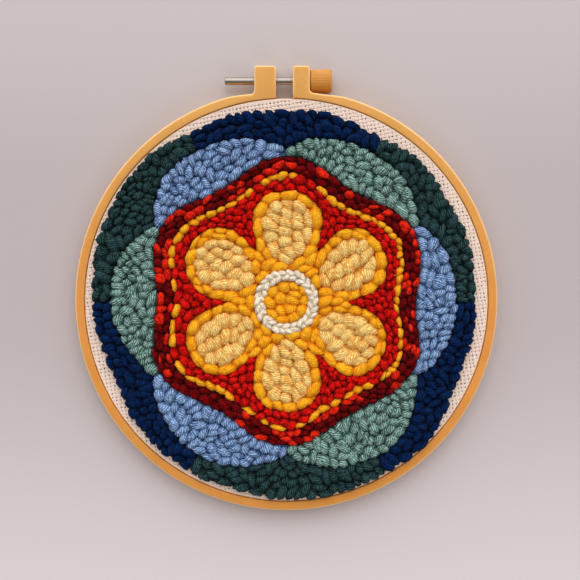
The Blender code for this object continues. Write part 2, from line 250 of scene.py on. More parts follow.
yarnColours = {  # plies is how much the plies show; shadedDark is the yarn's deep tone together with its painted shade, sideShade how much darker a loop's sides are painted as shade
    "gold": {"light": rgb(255, 190, 40), "shadedDark": rgb(238, 128, 0), "plies": 0.65, "sideShade": 0.42},
    "white": {"light": rgb(255, 250, 232), "shadedDark": rgb(214, 182, 144), "plies": 0.60, "sideShade": 0.40},
    "cream": {"light": rgb(255, 226, 142), "shadedDark": rgb(228, 138, 8), "plies": 0.75, "sideShade": 0.52},
    "red": {"light": rgb(240, 22, 12), "shadedDark": rgb(84, 0, 0), "plies": 0.60, "sideShade": 0.60},
    "brightRed": {"light": rgb(250, 44, 20), "shadedDark": rgb(128, 2, 0), "plies": 0.60, "sideShade": 0.50},
    "wine": {"light": rgb(130, 2, 6), "shadedDark": rgb(26, 0, 0), "plies": 0.65, "sideShade": 0.60},
    "blue": {"light": rgb(158, 189, 232), "shadedDark": rgb(36, 70, 124), "plies": 0.96, "sideShade": 0.64},
    "sage": {"light": rgb(150, 188, 180), "shadedDark": rgb(6, 48, 42), "plies": 0.95, "sideShade": 0.64},
    "pine": {"light": rgb(50, 80, 82), "shadedDark": rgb(0, 9, 12), "plies": 0.92, "sideShade": 0.55},
    "navy": {"light": rgb(4, 40, 90), "shadedDark": rgb(0, 4, 24), "plies": 0.90, "sideShade": 0.55},
}


def yarnFinish(name):
    look = yarnLook
    colours = yarnColours[name]
    finish = Finish(
        f"{name}Yarn",
        roughness=0.9,
        Sheen_Weight=0.02,
        Sheen_Roughness=0.5,
        Specular_IOR_Level=0.05,
    )
    along, across, number = finish.parts(finish.attribute("strand"))
    plies = colours["plies"]
    strayApart, fibreApart, speckApart = look["grainApart"]
    strayPlace = finish.joined(along, across, number * strayApart)
    stray = finish.grain(strayPlace, look["strayGrain"], 2.0) - 0.5
    turns = across / look["plyPitch"] + stray * look["strays"]
    ridge = (turns * math.pi).sine().size()
    plyApart, loopApart = look["dashApart"]
    dashPlace = finish.joined(turns.floor() * plyApart, number * loopApart, along * look["dashes"])
    dash = finish.grain(dashPlace, 1.0, 1.0).step(*look["dashEdges"])
    slanting = across + along * look["fibreSlant"]
    fibrePlace = finish.joined(along * look["fibreStretch"], slanting, number * fibreApart)
    fibres = finish.grain(fibrePlace, look["fibreGrain"], 3.0, 0.65)
    speckPlace = finish.joined(along, across, number * speckApart)
    specks = finish.grain(speckPlace, look["speckGrain"], 2.0, 0.6).step(*look["speckEdges"])
    up = finish.parts(finish.place())[2]
    raised = up.step(look["valleyZ"], look["crownZ"])
    drop = finish.attribute("drop", "Fac")
    # The plies' grooves are painted darker as shade; grooves that show more also darken a yarn, so
    # they are made up for
    toneCurve, bumpCurve = look["ridgeCurves"]
    plain, madeUp = look["grooves"]
    grooves = (1 - plies * (1 - ridge**toneCurve)) * (plain / (1 - madeUp * plies))
    shade = grooves * toned(look["plyTones"], dash) * toned(look["fibreTones"], fibres)
    shade = shade * toned(look["speckTones"], specks)
    # Painted shade: darker low down between the loops and on each loop's sides
    sides = toned(look["heightShadeTones"], raised) * (1 - colours["sideShade"] * drop)
    lit = (shade * sides * toned(look["loopTones"], number)).clamped()
    # The yarn runs from its shaded dark tone, where shade is painted, to its light tone
    finish.use("Base Color", finish.mix(lit, colours["shadedDark"], colours["light"]))
    finish.use("Roughness", toned(look["rough"], fibres).clamped())
    height = plies * ridge**bumpCurve + fibres * (look["fibreDepth"] / look["plyDepth"])
    finish.use("Normal", finish.bump(height, look["plyDepth"]))
    return finish


yarns = {name: yarnFinish(name) for name in yarnColours}
print("yarns made")


# Colour fields: the border of each packed field, the ground that each loop takes, the loops
loopLook = {
    "crown": 6.2 * mm,
    "crownVaries": 0.75 * mm,
    "heights": (1.0, 0.94, 0.76, 0.50, 0.27, 0.08, 0.0),  # ring by ring, crown first
    "widths": (0.0, 0.50, 0.85, 1.0, 0.94, 0.78, 0.0),
    # the share of painted side shade, ring by ring, crown first
    "sideShades": (0.0, 0.22, 0.62, 1.0, 1.0, 1.0, 1.0),
    "root": -0.3 * mm,
    "segments": 12,
    "rings": 6,
    "tight": 1.12,  # how far a loop fills its own ground
    "oval": 0.4,  # 0 keeps the corners of its ground, 1 makes it an oval
    "uneven": 0.085,
    "lean": 0.14,
    "rimLean": 0.42,  # how far the outermost loops lean out over the cloth
    "rimReach": 4.5 * mm,
    "rimDrop": 1.5 * mm,
    "curl": 0.22,  # how far the plies bend along a loop
    "curlOver": 2.5 * mm,
    "plyVaries": 0.45,
    "slip": 0.2,  # mm, how far the plies' start moves from loop to loop
    "apart": 50,  # mm, how far loops lie from one another in the grain
}
bedLook = {"height": 0.64, "inwards": 0.996, "sunk": 0.05 * mm, "number": 0.35}
settle = {
    "sideSlope": 0.3,  # a face whose normal rises more than this is no side of a field
    "grain": 0.9 * mm,
    "fineGrain": 0.5 * mm,
    "jitter": 0.3,  # of the grain
    "rounds": 12,
    "strictRounds": 3,  # the last ones, where loops with hardly any ground give it up
    "least": 0.45,  # a loop keeps its ground from this share of the middle one's upwards
    "fewest": 12,  # points of fine ground
    "fewestLoops": 3,
    "stretches": (0.80, 1.25),
    "edgeShare": 0.985,  # of a loop's ground lies within its plan
    "edgeGrains": 0.4,
    "facing": 0.25,
}
sideTurns = np.arange(loopLook["segments"]) * 2 * math.pi / loopLook["segments"]


def borderOf(node):  # the field's outline at its foot, as side starts and side ends
    mesh = bpy.data.objects[node].data
    foot = min(vertex.co.z for vertex in mesh.vertices)
    starts, ends = [], []
    for polygon in mesh.polygons:
        if abs(polygon.normal.z) > settle["sideSlope"]:
            continue
        corners = [mesh.vertices[index].co for index in polygon.vertices]
        low = [corner for corner in corners if corner.z < foot + sameSpot]
        if len(low) == 2:
            starts.append(low[0].xy - centre.xy)
            ends.append(low[1].xy - centre.xy)
    return np.array(starts), np.array(ends)


def within(points, starts, ends):  # whether each point lies inside the border
    x = points[:, None, 0]
    y = points[:, None, 1]
    crosses = (starts[:, 1] > y) != (ends[:, 1] > y)
    rise = np.where(np.abs(ends[:, 1] - starts[:, 1]) < 1e-12, 1e-12, ends[:, 1] - starts[:, 1])
    meets = starts[:, 0] + (y - starts[:, 1]) / rise * (ends[:, 0] - starts[:, 0])
    return (crosses & (x < meets)).sum(1) % 2 == 1


def nearestSide(points, starts, ends):  # distance to the border, and the border's direction
    side = ends - starts
    length = np.maximum((side**2).sum(1), 1e-12)
    offset = points[:, None, :] - starts
    share = np.clip((offset * side).sum(2) / length, 0, 1)
    gap = offset - share[:, :, None] * side
    distance = np.sqrt((gap**2).sum(2))
    nearest = distance.argmin(1)
    return distance.min(1), np.arctan2(side[nearest, 1], side[nearest, 0])


def groundOf(starts, ends, grain, rng):  # points spread over the field
    low = np.minimum(starts.min(0), ends.min(0))
    high = np.maximum(starts.max(0), ends.max(0))
    across, up = np.arange(low[0], high[0], grain), np.arange(low[1], high[1], grain)
    ground = np.stack(np.meshgrid(across, up), -1).reshape(-1, 2)
    ground = ground + rng.uniform(-settle["jitter"], settle["jitter"], ground.shape) * grain
    return ground[within(ground, starts, ends)]


def takeGround(ground, sites, angle, aspect, pull):  # which loop each point of ground goes to
    offset = ground[:, None, :] - sites
    lengthways = offset[:, :, 0] * np.cos(angle) + offset[:, :, 1] * np.sin(angle)
    crossways = offset[:, :, 1] * np.cos(angle) - offset[:, :, 0] * np.sin(angle)
    return ((lengthways**2 / aspect + crossways**2 * aspect) * pull).argmin(1)


def shareField(starts, ends, look, headingAt, rng, sites=None):
    # Each loop takes the ground nearest to it and moves to its middle, a few times over
    ground = groundOf(starts, ends, settle["grain"], rng)
    rounds = look.get("rounds", settle["rounds"])
    if sites is None:
        count = round(len(ground) * settle["grain"] ** 2 / (look["area"] * mm**2))
        count = max(settle["fewestLoops"], count)
        sites = ground[rng.choice(len(ground), count, replace=False)]
    turn = rng.normal(0, look["spread"], len(sites))
    aspect = look["aspect"] * rng.uniform(*settle["stretches"], len(sites))
    pull = rng.uniform(1 - look["sizes"], 1 + look["sizes"], len(sites))
    for lap in range(rounds):
        owner = takeGround(ground, sites, headingAt(sites) + turn, aspect, pull)
        taken = np.bincount(owner, minlength=len(sites))
        if lap >= rounds - settle["strictRounds"]:
            keep = taken > settle["least"] * np.median(taken)
        else:
            keep = taken > 0
        middles = np.stack(
            [np.bincount(owner, ground[:, axis], minlength=len(sites)) for axis in (0, 1)], -1
        )
        sites = (middles / np.maximum(taken, 1)[:, None])[keep]
        turn, aspect, pull = turn[keep], aspect[keep], pull[keep]
    angle = headingAt(sites) + turn
    ground = groundOf(starts, ends, settle["fineGrain"], rng)
    owner = takeGround(ground, sites, angle, aspect, pull)
    loops = []
    for index, site in enumerate(sites):
        mine = ground[owner == index] - site
        if len(mine) < settle["fewest"]:
            continue
        middle = mine.mean(0)
        plan = planOf(mine - middle, angle[index], look.get("run", 1.0))
        loops.append({"at": site + middle, "angle": angle[index], "plan": plan})
    return loops


def planOf(mine, angle, run):  # how far a loop reaches from its middle, by direction
    turns = sideTurns + angle
    ways = np.stack([np.cos(turns), np.sin(turns)], -1)
    push = np.quantile(mine @ ways.T, settle["edgeShare"], axis=0)
    push = push + settle["fineGrain"] * settle["edgeGrains"]
    facing = np.cos(sideTurns[:, None] - sideTurns)
    reach = push / np.maximum(facing, settle["facing"])
    corner = np.where(facing > settle["facing"], reach, 1.0).min(1)
    spreadOut = np.einsum("ki,ij,kj->k", ways, np.linalg.inv(np.cov(mine.T)), ways)
    oval = 2.0 / np.sqrt(spreadOut)
    along = 1 + (run - 1) * np.cos(sideTurns) ** 2
    return loopLook["tight"] * along * (loopLook["oval"] * oval + (1 - loopLook["oval"]) * corner)


def ovalPlan(long, wide):
    return 1 / np.sqrt((np.cos(sideTurns) / long) ** 2 + (np.sin(sideTurns) / wide) ** 2)


def loopTemplate():
    bm = bmesh.new()
    bmesh.ops.create_uvsphere(
        bm, u_segments=loopLook["segments"], v_segments=loopLook["rings"], radius=1.0
    )
    mesh = bpy.data.meshes.new("loopTemplate")
    bm.to_mesh(mesh)
    bm.free()
    return mesh


template = loopTemplate()
templateSpots = np.empty(len(template.vertices) * 3)
template.vertices.foreach_get("co", templateSpots)
templateSpots = templateSpots.reshape(-1, 3)
downOf = np.arccos(np.clip(templateSpots[:, 2], -1, 1))
turnOf = np.arctan2(templateSpots[:, 1], templateSpots[:, 0])
ringOf = np.round(downOf / math.pi * loopLook["rings"]).astype(int)
sideOf = np.round(turnOf / (2 * math.pi) * loopLook["segments"]).astype(int) % loopLook["segments"]


def loopShapes(loops, look, rng):
    # Places and strand values of every point of every loop: a fat lobe on a narrower stem
    count = len(loops)
    plan = np.stack([loop["plan"] for loop in loops])
    at = np.stack([loop["at"] for loop in loops])
    angle = np.array([loop["angle"] for loop in loops])
    drop = np.array([loop["drop"] for loop in loops])
    lean = np.stack([loop["lean"] for loop in loops])
    top = loopLook["crown"] + look.get("raise", 0.0) - drop
    top = top + rng.uniform(-1, 1, count) * look.get("varies", loopLook["crownVaries"])
    tip = rng.uniform(0, 2 * math.pi, count)
    tipWay = np.stack([np.cos(tip), np.sin(tip)], -1)
    lean = lean + rng.uniform(0, loopLook["lean"], count)[:, None] * tipWay
    heights, widths = np.array(loopLook["heights"]), np.array(loopLook["widths"])
    root = loopLook["root"]
    lumps = rng.normal(0, loopLook["uneven"], (count, len(ringOf)))
    radial = plan[:, sideOf] * widths[ringOf] * (1 + lumps)
    turn = turnOf + angle[:, None]
    z = root + (top[:, None] - root) * heights[ringOf]
    leanBy = z * (z / top[:, None]) * (z > 0)
    x = at[:, :1] + radial * np.cos(turn) + lean[:, :1] * leanBy + centre.x
    y = at[:, 1:] + radial * np.sin(turn) + lean[:, 1:] * leanBy + centre.y
    # The way over the surface from the crown, which the plies follow
    stepOut = np.diff(widths)[None, :, None] * plan[:, None, :]
    stepDown = (np.diff(heights)[None, :] * top[:, None])[:, :, None]
    steps = np.cumsum(np.hypot(stepOut, stepDown), 1)
    path = np.concatenate([np.zeros((count, 1, plan.shape[1])), steps], 1)
    gone = path[:, ringOf, sideOf]
    along, across = gone * np.cos(turnOf), gone * np.sin(turnOf)
    along = along + rng.uniform(-loopLook["slip"], loopLook["slip"], count)[:, None] * mm
    bend = loopLook["curl"] * rng.uniform(-1, 1, count)[:, None]
    across = across + bend * along**2 / loopLook["curlOver"]
    plyTurn = look["ply"] + rng.uniform(-loopLook["plyVaries"], loopLook["plyVaries"], count)
    cosine, sine = np.cos(plyTurn)[:, None], np.sin(plyTurn)[:, None]
    shift = rng.uniform(0, loopLook["apart"], count)[:, None] * mm
    number = np.repeat(rng.uniform(0, 1, count)[:, None], len(turnOf), 1)
    strand = np.stack(
        [along * cosine + across * sine + shift, across * cosine - along * sine + shift, number], -1
    )
    sideShades = np.tile(np.array(loopLook["sideShades"])[ringOf], count)
    return np.stack([x, y, clothTop + z], -1).reshape(-1, 3), strand.reshape(-1, 3), sideShades


def addBed(bm, node):
    # The yarn low down between the loops: the field's own outline, sunk below their crowns
    mesh = bpy.data.objects[node].data
    foot = min(vertex.co.z for vertex in mesh.vertices)
    before = len(bm.verts)
    bm.from_mesh(mesh)
    bm.verts.ensure_lookup_table()
    added = bm.verts[before:]
    for vert in added:
        flat = (vert.co.xy - centre.xy) * bedLook["inwards"]
        height = (vert.co.z - foot) * bedLook["height"] - bedLook["sunk"]
        vert.co = (centre.x + flat.x, centre.y + flat.y, foot + height)
    bmesh.ops.remove_doubles(bm, verts=added, dist=sameSpot)


def newLoops(name, yarn, loops, look, rng, node=None):
    bm = bmesh.new()
    for loop in loops:
        bm.from_mesh(template)
    if node:
        addBed(bm, node)
    mesh = newPiece(name, bm, yarns[yarn], [node] if node else []).data
    spots = np.empty(len(mesh.vertices) * 3)
    mesh.vertices.foreach_get("co", spots)
    spots = spots.reshape(-1, 3)
    shapes, strands, sideShades = loopShapes(loops, look, rng)
    values = np.concatenate([spots[:, :2], np.full((len(spots), 1), bedLook["number"])], 1)
    spots[: len(shapes)] = shapes
    values[: len(strands)] = strands
    mesh.vertices.foreach_set("co", spots.ravel())
    layer = mesh.attributes.new("strand", "FLOAT_VECTOR", "POINT")
    layer.data.foreach_set("vector", values.ravel())
    # The bed between the loops takes the whole painted side shade
    sideShade = np.ones(len(spots))
    sideShade[: len(sideShades)] = sideShades
    mesh.attributes.new("drop", "FLOAT", "POINT").data.foreach_set("value", sideShade)
    mesh.update()


# One loop's ground in mm2 and its length over its width, how far loops turn and differ in size
# from one another, and the plies' turn
outerLoops = {"aspect": 1.95, "spread": 0.6, "sizes": 0.3, "ply": 0.9}
innerLoops = {"area": 14, "aspect": 1.8, "spread": 0.35, "sizes": 0.25, "ply": 0.7}
petalLoops = {"area": 24, "aspect": 1.3, "spread": 0.15, "sizes": 0.15, "ply": 1.05}
heartLoops = {"area": 26, "aspect": 1.6, "spread": 0.5, "sizes": 0.2, "ply": 0.7}
outlineLoops = {"area": 29, "aspect": 2.0, "spread": 0.3, "sizes": 0.2, "ply": 0.6}
fields = {
    "gold_heart": {"yarn": "gold", **heartLoops},
    "gold_outline": {"yarn": "gold", **outlineLoops},
    "white_braid_ring": {"yarn": "white", "ply": 0.35, "raise": 0.3 * mm},
    "cream_petal": {"yarn": "cream", "rounds": 2, "run": 1.16, **petalLoops},
    "red_ground": {"yarn": "red", "varies": 0.95 * mm, **innerLoops},
    "wine_scallops": {"yarn": "wine", "varies": 1.0 * mm, **innerLoops},
    "blue_arch": {"yarn": "blue", "area": 23, **outerLoops},
    "sage_arch": {"yarn": "sage", "area": 23, **outerLoops},
    "navy_edge": {"yarn": "navy", "area": 22, **outerLoops},
    "pine_edge": {"yarn": "pine", "area": 21, **outerLoops},
}
petalRows = {
    "rows": 3,  # on either side of the middle one
    "steps": 6,
    "rowPitch": 5.6 * mm,
    "alongPitch": 4.7 * mm,
    "slant": 0.30,
    "margin": 1.2 * mm,
    "jitter": 0.25,  # mm
}
drift = {"turn": 0.35, "swing": 0.9, "across": 13 * mm, "up": 11 * mm}
braid = {
    "radii": (12.15 * mm, 14.45 * mm),
    "pitch": 3.5 * mm,
    "slant": 0.50,
    "long": 3.1 * mm,
    "wide": 1.65 * mm,
    "wander": 0.03,
    "sizes": (0.95, 1.05),
}
goldLine = {"within": 2.3 * mm}
redDashes = {"every": 3, "raise": 0.3 * mm}


def outerReach(borders):  # how far the pile reaches, by direction
    points = np.concatenate([starts for starts, ends in borders.values()])
    angle = np.arctan2(points[:, 1], points[:, 0])
    radius = np.hypot(points[:, 0], points[:, 1])
    bins = 36
    which = ((angle + math.pi) / (2 * math.pi) * bins).astype(int) % bins
    reach = np.array([radius[which == index].max() for index in range(bins)])
    turn = (np.arange(bins) + 0.5) / bins * 2 * math.pi - math.pi
    return lambda way: np.interp(way, turn, reach, period=2 * math.pi)


def petalSites(starts, rng):  # ropes of loops side by side along the petal
    middle = starts.mean(0)
    along = middle / np.hypot(*middle)
    across = np.array([-along[1], along[0]])
    sites = []
    for row in range(-petalRows["rows"], petalRows["rows"] + 1):
        for step in range(-petalRows["steps"], petalRows["steps"] + 1):
            offset = (step + 0.5 * (row % 2)) * petalRows["alongPitch"]
            sites.append(middle + along * offset + across * row * petalRows["rowPitch"])
    jitter = petalRows["jitter"]
    return np.array(sites) + rng.uniform(-jitter, jitter, (len(sites), 2)) * mm


def braidLoops(rng):  # two rounds of slanting loops, laid like a plait
    loops = []
    for radius, slant in zip(braid["radii"], (braid["slant"], -braid["slant"])):
        count = round(2 * math.pi * radius / braid["pitch"])
        for index in range(count):
            way = (index + 0.5 * (slant > 0)) * 2 * math.pi / count
            way += rng.uniform(-braid["wander"], braid["wander"])
            at = radius * np.array([math.cos(way), math.sin(way)])
            plan = ovalPlan(braid["long"], braid["wide"]) * rng.uniform(*braid["sizes"])
            loops.append({"at": at, "angle": way + math.pi / 2 + slant, "plan": plan})
    return loops


def headingOf(name, order, starts, ends):  # the way that loops lie at each place in a field
    if name.startswith("cream_petal"):
        middle = starts.mean(0)
        slanting = math.atan2(middle[1], middle[0]) + petalRows["slant"]
        return lambda sites: np.full(len(sites), slanting)
    if name.startswith(("gold", "red", "wine")):
        return lambda sites: nearestSide(sites, starts, ends)[1]

    def drifting(sites):  # loops lie alike in patches
        waves = np.sin(sites[:, 0] / drift["across"] + order)
        waves = waves + np.cos(sites[:, 1] / drift["up"] - order)
        return drift["turn"] + drift["swing"] * waves

    return drifting


def loopsOf(name, look, heading, starts, ends, rng):
    if name == "white_braid_ring":
        return braidLoops(rng)
    if not name.startswith("cream_petal"):
        return shareField(starts, ends, look, heading, rng)
    sites = petalSites(starts, rng)
    gap = nearestSide(sites, starts, ends)[0]
    sites = sites[within(sites, starts, ends) & (gap > petalRows["margin"])]
    return shareField(starts, ends, look, heading, rng, sites)


def leanOut(loops, reach):  # the outermost loops lean out over the cloth
    for loop in loops:
        distance = math.hypot(*loop["at"])
        toRim = float(reach(math.atan2(loop["at"][1], loop["at"][0]))) - distance
        share = max(0.0, 1 - toRim / loopLook["rimReach"])
        loop["lean"] = loop["at"] / max(distance, mm) * loopLook["rimLean"] * share
        loop["drop"] = loopLook["rimDrop"] * share


def makePile():
    nodes = sorted(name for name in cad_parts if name.startswith(tuple(fields)))
    borders = {name: borderOf(name) for name in nodes}
    reach = outerReach(borders)
    total = 0
    for order, name in enumerate(nodes):
        look = next(look for field, look in fields.items() if name.startswith(field))
        rng = np.random.default_rng(100 + order)
        heading = headingOf(name, order, *borders[name])
        loops = loopsOf(name, look, heading, *borders[name], rng)
        leanOut(loops, reach)
        total += len(loops)
        if name == "red_ground":  # its loops beside the scallops are a line of gold
            spots = np.array([loop["at"] for loop in loops])
            near = nearestSide(spots, *borders["wine_scallops"])[0] < goldLine["within"]
            line = [loop for loop, inLine in zip(loops, near) if inLine]
            loops = [loop for loop, inLine in zip(loops, near) if not inLine]
            newLoops("goldLineLoops", "gold", line, {**look, "slot": "gold"}, rng)
        if name == "wine_scallops":  # some of its loops are red, and stand higher
            dashes = loops[:: redDashes["every"]]
            loops = [loop for index, loop in enumerate(loops) if index % redDashes["every"]]
            raised = {**look, "slot": "red", "raise": redDashes["raise"]}
            newLoops("redDashLoops", "brightRed", dashes, raised, rng)
        newLoops(f"{name}_loops", look["yarn"], loops, look, rng, name)
    print("loops made:", total)


makePile()


# Cloth: one sheet with its weave raised where it shows, then down between the rings
clothLook = {
    "pitch": 1.88 * mm,
    "turned": math.radians(10),
    "drawn": 0.5 * mm,  # how far its threads are pulled out of line
    "drawnEvery": (14 * mm, 17 * mm),
    "loose": 0.55,  # how unevenly they lie, in threads
    "looseGrain": (330, 350),
    "fluffGrain": 2600,
    "stainGrain": 45,
    "pinchGrain": 520,  # some holes are pinched shut
    "holeEdges": (0.48, 0.84),
    # Painted shade: the weave's holes are painted dark, as the shade seen through them
    "hole": (rgb(88, 68, 64), 0.92),  # a colour and how much of it shows
    # Painted light: a pale peach glow on the cloth beside the ring, standing in for light through
    # and off the orange plastic
    "edge": (rgb(253, 222, 196), 0.7),
    "threads": (rgb(196, 160, 142), rgb(246, 223, 208)),
    "bumps": 0.25 * mm,
    "heights": (0.45, 0.55, 0.3),  # a thread's edge, its rise from there, and its fluff
    "threadTones": (0.55, 0.45),
    "fluffTones": (0.80, 0.4),
    "stainTones": (0.9, 0.2),
    "plain": (-1.0 * mm, -0.4 * mm),  # no holes from here to the ring's edge
    "relief": 0.25 * mm,
    "shownFrom": 86.0 * mm,
    "round": 0.32 * mm,
    "rows": 34,
    "plainRows": (0.7, 0.35, 0.0),  # under the pile
    "steps": 1200,
    "hemRows": 4,
    "roundSteps": 4,
    "cut": 0.220,
    "gripped": ringHigh.x - centre.x,
}


def weavePlace(x, y, sine):  # the threads' own column and row at a place from the middle
    cosine, slope = math.cos(clothLook["turned"]), math.sin(clothLook["turned"])
    columnEvery, rowEvery = clothLook["drawnEvery"]
    column = x * cosine + y * slope + clothLook["drawn"] * sine(y / columnEvery)
    row = y * cosine - x * slope + clothLook["drawn"] * sine(x / rowEvery)
    return column / clothLook["pitch"], row / clothLook["pitch"]


def weaveHeight(x, y):  # 0 in the holes, 1 on top of a thread
    column, row = weavePlace(x, y, math.sin)
    fromX, fromY = abs(column % 1 - 0.5) * 2, abs(row % 1 - 0.5) * 2
    over = (math.floor(column) + math.floor(row)) % 2
    if over:
        fromX, fromY = fromY, fromX
    return (1 - fromX**3) * (1 - 0.6 * fromY**2)


def clothFinish():
    look = clothLook
    finish = Finish("weave", roughness=0.92, Sheen_Weight=0.08, Specular_IOR_Level=0.15)
    place = finish.place()
    x, y = finish.parts(place)[:2]
    x, y = x - centre.x, y - centre.y
    away = (x * x + y * y) ** 0.5
    column, row = weavePlace(x, y, Wire.sine)
    columnGrain, rowGrain = look["looseGrain"]
    column = column + look["loose"] * (finish.grain(place, columnGrain, 1.0) - 0.5)
    row = row + look["loose"] * (finish.grain(finish.joined(y, x, 0.3), rowGrain, 1.0) - 0.5)
    odd = ((column.floor() + row.floor()) / 2).fraction().step(0.2, 0.3)
    fromX, fromY = (column.fraction() - 0.5).size() * 2, (row.fraction() - 0.5).size() * 2
    across = fromX * (1 - odd) + fromY * odd
    along = fromY * (1 - odd) + fromX * odd
    twin = ((across * math.pi).sine().size()) ** 0.8
    arch = 1 - 0.7 * along**2
    fluff = finish.grain(place, look["fluffGrain"], 3.0, 0.6)
    stain = finish.grain(place, look["stainGrain"], 2.0, 0.5)
    pinch = finish.grain(place, look["pinchGrain"], 1.0)
    # The plain band beside the ring, painted with the glow
    nearRingGlow = away.step(*[look["gripped"] + back for back in look["plain"]])
    hole = (fromX * fromY + (pinch - 0.5)).step(*look["holeEdges"]) * (1 - nearRingGlow)
    edge, rise, fluffy = look["heights"]
    height = (edge + rise * twin) * arch * (1 - hole) + fluffy * fluff
    # Painted shade: threads are painted darker where they dip into the weave
    shade = toned(look["threadTones"], height) * toned(look["fluffTones"], fluff)
    shade = (shade * toned(look["stainTones"], stain)).clamped()
    colour = finish.mix(shade, *look["threads"])
    for mask, (tone, share) in ((hole, look["hole"]), (nearRingGlow, look["edge"])):
        colour = finish.mix(mask * share, colour, tone)
    finish.use("Base Color", colour)
    finish.use("Normal", finish.bump(height, look["bumps"]))
    return finish


def clothProfile():  # radius and height of each round of points, from the hem to the middle
    look = clothLook
    outer = look["gripped"]
    flat = outer - look["round"]
    hem = ringLow.z - clothTop
    rounds = []
    for step in range(look["hemRows"]):
        rounds.append((outer, hem + (-look["round"] - hem) * step / look["hemRows"]))
    for step in range(look["roundSteps"] + 1):
        angle = math.pi / 2 * step / look["roundSteps"]
        radius = flat + look["round"] * math.cos(angle)
        rounds.append((radius, look["round"] * (math.sin(angle) - 1)))
    for row in range(1, look["rows"] + 1):
        rounds.append((flat + (look["shownFrom"] - flat) * row / look["rows"], 0.0))
    return rounds + [(look["shownFrom"] * share, 0.0) for share in look["plainRows"]]


def makeCloth():
    look = clothLook
    rounds = clothProfile()
    bm = bmesh.new()
    bmesh.ops.create_circle(bm, cap_ends=False, segments=look["steps"], radius=rounds[0][0])
    bmesh.ops.translate(bm, verts=bm.verts, vec=(centre.x, centre.y, clothTop + rounds[0][1]))
    ring = bm.edges[:]
    for before, (radius, height) in zip(rounds, rounds[1:]):
        made = bmesh.ops.extrude_edge_only(bm, edges=ring)["geom"]
        fresh = {item for item in made if isinstance(item, bmesh.types.BMVert)}
        ring = [item for item in made if isinstance(item, bmesh.types.BMEdge)]
        ring = [edge for edge in ring if fresh.issuperset(edge.verts)]
        for vert in fresh:
            flatSpot = (vert.co.xy - centre.xy) * (radius / before[0])
            vert.co = (*(centre.xy + flatSpot), clothTop + height)
    bmesh.ops.remove_doubles(bm, verts=list(fresh), dist=sameSpot)
    for vert in bm.verts:
        flatSpot = vert.co.xy - centre.xy
        if flatSpot.length > look["shownFrom"] and vert.co.z > clothTop - look["round"] - sameSpot:
            vert.co.z += look["relief"] * (weaveHeight(flatSpot.x, flatSpot.y) - 1)
    bmesh.ops.recalc_face_normals(bm, faces=bm.faces)
    middleFace = max(bm.faces, key=lambda face: face.calc_center_median().z)
    if middleFace.normal.z < 0:
        bmesh.ops.reverse_faces(bm, faces=bm.faces)
    piece = newPiece("clothSheet", bm, clothFinish(), ["cloth"])
    cut = look["cut"]
    math.pi * (cut / 2) ** 2


makeCloth()
print("cloth made")


# Hoop plastic: satin, with faint moulding waves and a few fine scuffs
plasticLook = {
    "mottleGrain": 60,
    "skinGrain": 1800,
    "scuffGrain": 700,
    "scuffEdges": (0.62, 0.72),
    "lugwardFrom": -20 * mm,  # paler and yellower towards the lugs
    "lugwardTo": 110 * mm,
    "marks": ((-11.2 * mm, 105.4 * mm, 1.7 * mm), (7.2 * mm, 108.2 * mm, 1.9 * mm)),  # x, y, radius
    "markWidth": 0.3 * mm,
    "tones": (rgb(210, 135, 50), rgb(226, 157, 76)),
    "lugwardTone": (rgb(216, 166, 84), 0.6),  # a colour and how much of it shows
    "scuffTone": (rgb(242, 194, 130), 0.2),
    "markTone": (rgb(150, 84, 20), 0.12),
    "deepTone": rgb(202, 131, 4),
    "rough": (0.34, 0.16, 0.15),  # the least, and more by mottle and by scuffs
    "edgeGlowTone": rgb(255, 222, 166),
    "bumps": 0.05 * mm,
    "paleFrom": 101.7 * mm,  # the outer edges are painted paler, a painted highlight for the light through and off the rounded edge
    "paleTo": 102.5 * mm,
    "paleStarts": (0.02 * mm, 0.45 * mm),  # below the top
    "paleEnds": (0.9 * mm, 1.8 * mm),
}


def plasticFinish(name, deeper, edgeGlowShare, coat):  # shares of deep tone, painted edge highlight and gloss
    look = plasticLook
    finish = Finish(
        name,
        Specular_IOR_Level=0.5,
        Coat_Weight=coat,
        Coat_Roughness=0.3,
        Subsurface_Weight=0.35,
        Subsurface_Radius=(1.0, 0.5, 0.2),
        Subsurface_Scale=1.5 * mm,
    )
    place = finish.place()
    x, y, z = finish.parts(place)
    mottle = finish.grain(place, look["mottleGrain"], 3.0, 0.55)
    skin = finish.grain(place, look["skinGrain"], 2.0, 0.6)
    scuffs = finish.grain(place, look["scuffGrain"], 4.0, 0.75).step(*look["scuffEdges"])
    lugward = y.step(centre.y + look["lugwardFrom"], centre.y + look["lugwardTo"])
    down = hoopTop - z
    away = ((x - centre.x) ** 2 + (y - centre.y) ** 2) ** 0.5
    outer = away.step(look["paleFrom"], look["paleTo"])
    edgeGlow = down.step(*look["paleStarts"]) * (1 - down.step(*look["paleEnds"])) * outer
    colour = finish.mix(mottle, *look["tones"])
    for mask, (tone, share) in ((lugward, look["lugwardTone"]), (scuffs, look["scuffTone"])):
        colour = finish.mix(mask * share, colour, tone)
    colour = finish.mix(deeper, colour, look["deepTone"])
    # Painted highlight: the outer edges made paler
    colour = finish.mix(edgeGlow * edgeGlowShare, colour, look["edgeGlowTone"])
    mark = 0
    for across, up, radius in look["marks"]:  # round marks that the mould leaves on the lugs
        gap = ((x - centre.x - across) ** 2 + (y - centre.y - up) ** 2) ** 0.5
        mark = mark + (1 - ((gap - radius).size() / look["markWidth"]).clamped())
    markTone, markShare = look["markTone"]
    finish.use("Base Color", finish.mix(mark * markShare, colour, markTone))
    rough, byMottle, byScuffs = look["rough"]
    finish.use("Roughness", (rough + byMottle * mottle + byScuffs * scuffs).clamped())
    finish.use("Normal", finish.bump(skin * 0.6 + mottle - 0.5 * mark, look["bumps"]))
    return finish


